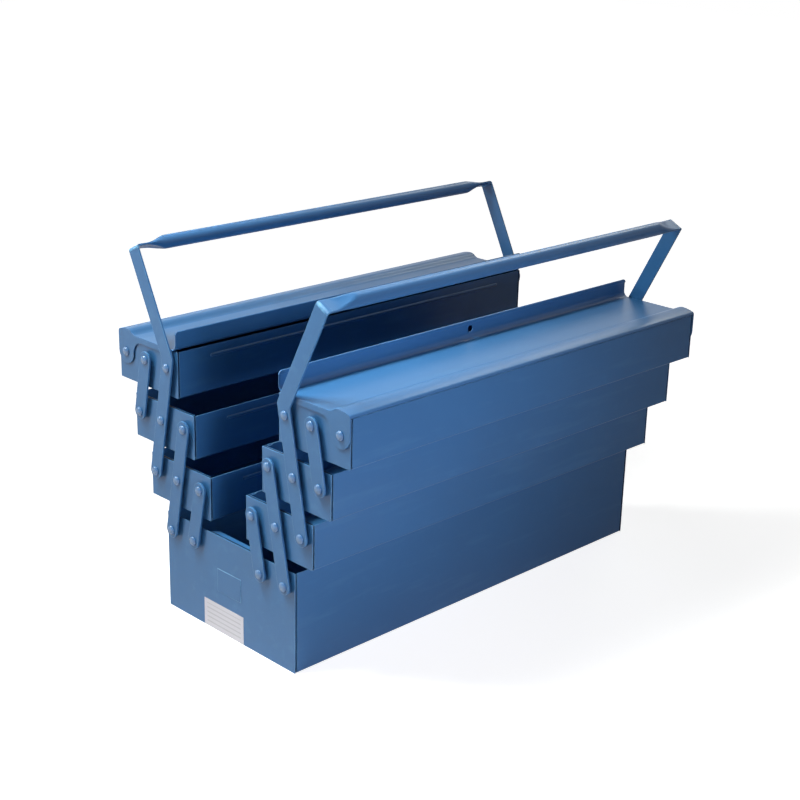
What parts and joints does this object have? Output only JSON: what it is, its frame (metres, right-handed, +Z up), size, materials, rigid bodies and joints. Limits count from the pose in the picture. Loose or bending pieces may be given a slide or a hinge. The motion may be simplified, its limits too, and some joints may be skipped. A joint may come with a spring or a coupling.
{
  "type": "cantilever tool box",
  "caption": "Sheet steel cantilever tool box with stepped trays on parallel links, lidded upper trays and a pair of tubular carrying handles, shown partly opened.",
  "frame": {"origin": "middle of the underside of the base box", "axes": "+X along the box towards its plain end, +Y across it towards the back stack, +Z up; the labelled end is at -X and the front stack at -Y"},
  "size_m": [0.5142, 0.344, 0.3781],
  "materials": {
    "enamel": "gloss",
    "rivets": "gloss",
    "label": "satin"
  },
  "bodies": {
    "base": {"base_box": "enamel", "base_left_end": "enamel", "base_right_end": "enamel", "base_rivets": "rivets", "label": "label"},
    "front_lower_tray": {"front_lower_pan": "enamel", "front_lower_left_end": "enamel", "front_lower_right_end": "enamel", "front_lower_rivets": "rivets"},
    "front_middle_tray": {"front_middle_pan": "enamel", "front_middle_left_end": "enamel", "front_middle_right_end": "enamel", "front_middle_rivets": "rivets"},
    "front_upper_tray": {"front_upper_pan": "enamel", "front_upper_left_end": "enamel", "front_upper_right_end": "enamel", "front_upper_rivets": "rivets"},
    "front_long_links": {"front_long_link_left": "enamel", "front_long_link_right": "enamel"},
    "front_inner_links": {"front_inner_link_left": "enamel", "front_inner_link_right": "enamel"},
    "front_outer_links": {"front_outer_link_left": "enamel", "front_outer_link_right": "enamel"},
    "front_handle": {"front_handle_left_arm": "enamel", "front_handle_right_arm": "enamel", "front_handle_grip": "enamel"},
    "front_lid": {"front_lid_top": "enamel", "front_lid_flange": "enamel", "front_lid_left_flap": "enamel", "front_lid_right_flap": "enamel"},
    "back_lower_tray": {"back_lower_pan": "enamel", "back_lower_left_end": "enamel", "back_lower_right_end": "enamel", "back_lower_rivets": "rivets"},
    "back_middle_tray": {"back_middle_pan": "enamel", "back_middle_left_end": "enamel", "back_middle_right_end": "enamel", "back_middle_rivets": "rivets"},
    "back_upper_tray": {"back_upper_pan": "enamel", "back_upper_left_end": "enamel", "back_upper_right_end": "enamel", "back_upper_rivets": "rivets"},
    "back_long_links": {"back_long_link_left": "enamel", "back_long_link_right": "enamel"},
    "back_inner_links": {"back_inner_link_left": "enamel", "back_inner_link_right": "enamel"},
    "back_outer_links": {"back_outer_link_left": "enamel", "back_outer_link_right": "enamel"},
    "back_handle": {"back_handle_left_arm": "enamel", "back_handle_right_arm": "enamel", "back_handle_grip": "enamel"},
    "back_lid": {"back_lid_top": "enamel", "back_lid_flange": "enamel", "back_lid_left_flap": "enamel", "back_lid_right_flap": "enamel"}
  },
  "joints": [
    {"name": "front_swing", "type": "hinge", "parent": "base", "child": "front_long_links", "pos_m": [0, -0.0864, 0.089], "axis": [1, 0, 0], "range_deg": [-26.58, 44]},
    {"name": "front_inner_links", "type": "hinge", "parent": "base", "child": "front_inner_links", "pos_m": [0, -0.051, 0.089], "axis": [1, 0, 0], "range_deg": [-26.58, 44]},
    {"name": "front_lower_tray", "type": "hinge", "parent": "front_long_links", "child": "front_lower_tray", "pos_m": [0, -0.07533, 0.14598], "axis": [1, 0, 0], "range_deg": [-44, 26.58]},
    {"name": "front_middle_tray", "type": "hinge", "parent": "front_long_links", "child": "front_middle_tray", "pos_m": [0, -0.06425, 0.20296], "axis": [1, 0, 0], "range_deg": [-44, 26.58]},
    {"name": "front_handle", "type": "hinge", "parent": "front_lower_tray", "child": "front_handle", "pos_m": [0, -0.11073, 0.14598], "axis": [1, 0, 0], "range_deg": [-26.58, 44]},
    {"name": "front_upper_tray", "type": "hinge", "parent": "front_handle", "child": "front_upper_tray", "pos_m": [0, -0.08857, 0.25993], "axis": [1, 0, 0], "range_deg": [-44, 26.58]},
    {"name": "front_outer_links", "type": "hinge", "parent": "front_middle_tray", "child": "front_outer_links", "pos_m": [0, -0.13505, 0.20296], "axis": [1, 0, 0], "range_deg": [-26.58, 44]},
    {"name": "front_lid", "type": "hinge", "parent": "front_upper_tray", "child": "front_lid", "pos_m": [0, -0.15937, 0.25993], "axis": [1, 0, 0], "range_deg": [0, 100]},
    {"name": "back_swing", "type": "hinge", "parent": "base", "child": "back_long_links", "pos_m": [0, 0.0864, 0.089], "axis": [-1, 0, 0], "range_deg": [-26.58, 44]},
    {"name": "back_inner_links", "type": "hinge", "parent": "base", "child": "back_inner_links", "pos_m": [0, 0.051, 0.089], "axis": [-1, 0, 0], "range_deg": [-26.58, 44]},
    {"name": "back_lower_tray", "type": "hinge", "parent": "back_long_links", "child": "back_lower_tray", "pos_m": [0, 0.07533, 0.14598], "axis": [-1, 0, 0], "range_deg": [-44, 26.58]},
    {"name": "back_middle_tray", "type": "hinge", "parent": "back_long_links", "child": "back_middle_tray", "pos_m": [0, 0.06425, 0.20296], "axis": [-1, 0, 0], "range_deg": [-44, 26.58]},
    {"name": "back_handle", "type": "hinge", "parent": "back_lower_tray", "child": "back_handle", "pos_m": [0, 0.11073, 0.14598], "axis": [-1, 0, 0], "range_deg": [-26.58, 44]},
    {"name": "back_upper_tray", "type": "hinge", "parent": "back_handle", "child": "back_upper_tray", "pos_m": [0, 0.08857, 0.25993], "axis": [-1, 0, 0], "range_deg": [-44, 26.58]},
    {"name": "back_outer_links", "type": "hinge", "parent": "back_middle_tray", "child": "back_outer_links", "pos_m": [0, 0.13505, 0.20296], "axis": [-1, 0, 0], "range_deg": [-26.58, 44]},
    {"name": "back_lid", "type": "hinge", "parent": "back_upper_tray", "child": "back_lid", "pos_m": [0, 0.15937, 0.25993], "axis": [-1, 0, 0], "range_deg": [0, 100]}
  ],
  "couplings": [
    {"joint": "front_inner_links", "follows": "front_swing", "ratio": 1},
    {"joint": "front_lower_tray", "follows": "front_swing", "ratio": -1},
    {"joint": "front_middle_tray", "follows": "front_swing", "ratio": -1},
    {"joint": "front_handle", "follows": "front_swing", "ratio": 1},
    {"joint": "front_upper_tray", "follows": "front_swing", "ratio": -1},
    {"joint": "front_outer_links", "follows": "front_swing", "ratio": 1},
    {"joint": "back_inner_links", "follows": "back_swing", "ratio": 1},
    {"joint": "back_lower_tray", "follows": "back_swing", "ratio": -1},
    {"joint": "back_middle_tray", "follows": "back_swing", "ratio": -1},
    {"joint": "back_handle", "follows": "back_swing", "ratio": 1},
    {"joint": "back_upper_tray", "follows": "back_swing", "ratio": -1},
    {"joint": "back_outer_links", "follows": "back_swing", "ratio": 1}
  ]
}
